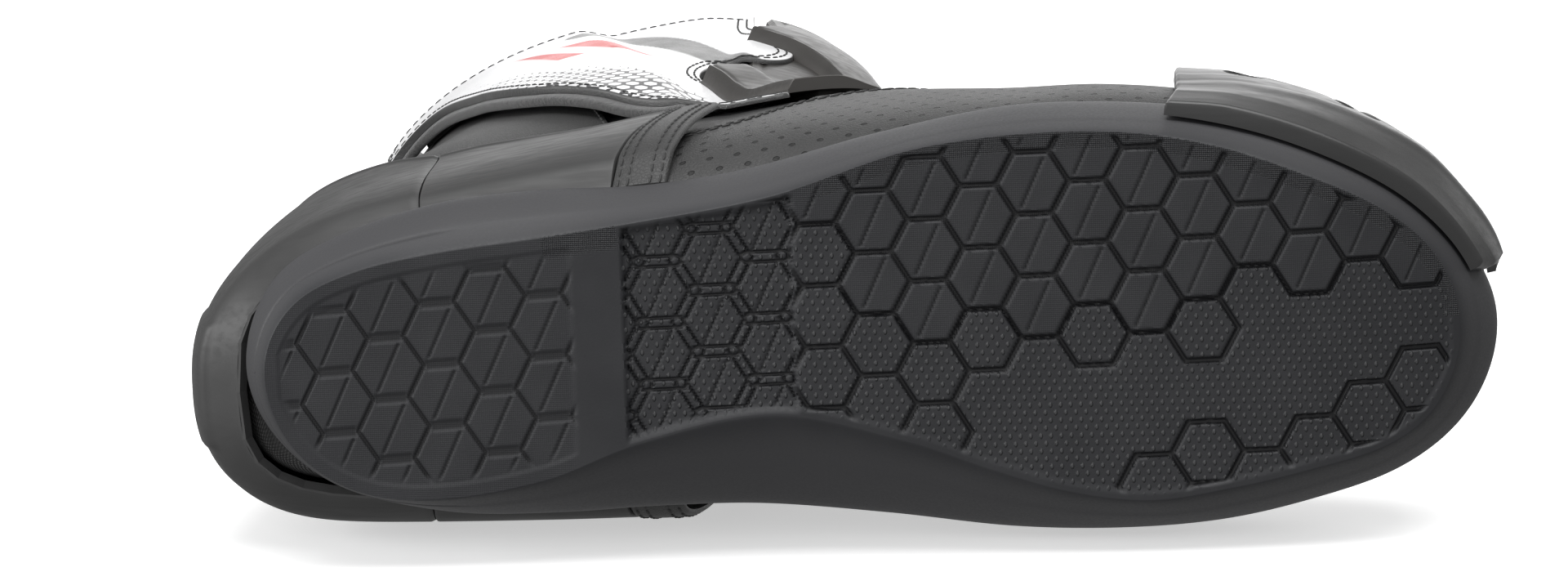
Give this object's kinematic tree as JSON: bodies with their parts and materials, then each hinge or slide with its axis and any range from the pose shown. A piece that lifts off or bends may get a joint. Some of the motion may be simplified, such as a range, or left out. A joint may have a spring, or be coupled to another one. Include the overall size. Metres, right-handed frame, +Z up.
{
  "type": "motorcycle road riding boot",
  "caption": "Right-foot road riding boot with a cup sole, moulded heel and shin shells, a toe slider, a perforated vamp, a side zip and a hook-and-loop flap over it.",
  "frame": {"origin": "on the ground under the middle of the boot's outer box, with the boot standing on its sole", "axes": "+X to the toe, +Y to the inner (medial) side, +Z up"},
  "size_m": [0.3174, 0.109, 0.2873],
  "materials": {
    "sole_rubber": "matt moulded rubber, fine knurl on the tread",
    "foam": "closed-cell foam",
    "shank_steel": "pressed steel",
    "screw_steel": "zinc plated",
    "board": "pressed fibre board",
    "lining_textile": "knitted mesh over foam",
    "microfibre": "fine-grained coated microfibre",
    "moulded_shell": "satin moulded plastic",
    "webbing": "woven tape",
    "printed_flap": "white coated microfibre with a printed hexagon pattern",
    "zip_metal": "black nickel plated"
  },
  "bodies": {
    "foot": {"outsole": "sole_rubber", "midsole": "foam", "steel_shank": "shank_steel", "insole_board": "board", "footbed": "lining_textile", "toe_box": "microfibre", "toe_puff": "moulded_shell", "toe_slider": "moulded_shell", "slider_screw_front": "screw_steel", "slider_nut_plate_front": "shank_steel", "slider_screw_rear": "screw_steel", "slider_nut_plate_rear": "shank_steel", "vamp_lateral": "microfibre", "quarter_lateral": "microfibre", "ankle_panel_lateral": "moulded_shell", "ankle_strap_lateral": "microfibre", "vamp_medial": "microfibre", "quarter_medial": "microfibre", "ankle_panel_medial": "moulded_shell", "ankle_strap_medial": "microfibre", "heel_counter": "moulded_shell", "heel_stiffener": "moulded_shell", "lining_forefoot": "lining_textile", "lining_heel": "lining_textile", "front_flex_panel": "microfibre", "rear_flex_panel": "microfibre"},
    "leg": {"shaft_panel_medial": "microfibre", "shaft_panel_front": "microfibre", "shaft_panel_rear": "microfibre", "shin_plate": "moulded_shell", "calf_plate": "moulded_shell", "shaft_lining_front": "lining_textile", "shaft_lining_back": "lining_textile", "collar_pad_front": "lining_textile", "collar_pad_back": "lining_textile", "shin_foam": "foam", "ankle_pad_lateral": "foam", "ankle_pad_medial": "foam", "pull_loop": "webbing", "zip_tape_front": "webbing", "zip_tape_rear": "webbing", "flap_loop_pad": "webbing"},
    "flap": {"closure_flap": "printed_flap", "flap_hook_pad": "webbing"},
    "zip_slider": {"zip_slider": "zip_metal"},
    "zip_puller": {"zip_puller": "zip_metal"}
  },
  "joints": [
    {"name": "ankle_flex", "type": "hinge", "parent": "foot", "child": "leg", "pos_m": [-0.0643, 0, 0.105], "axis": [0, 1, 0], "range_deg": [-8, 14], "stiffness_Nm_per_rad": 15, "deforming": ["front_flex_panel", "rear_flex_panel"]},
    {"name": "flap_open", "type": "hinge", "parent": "leg", "child": "flap", "pos_m": [-0.03156, -0.04175, 0.10462], "axis": [0.0079, 0.0003, 1], "range_deg": [0, 105]},
    {"name": "zip_slide", "type": "slide", "parent": "leg", "child": "zip_slider", "axis": [0.2354, -0.02, -0.9717], "range_m": [0, 0.15]},
    {"name": "puller_swing", "type": "hinge", "parent": "zip_slider", "child": "zip_puller", "pos_m": [-0.08466, -0.0357, 0.25449], "axis": [-0.9614, 0.1415, -0.2358], "range_deg": [0, 150]}
  ]
}
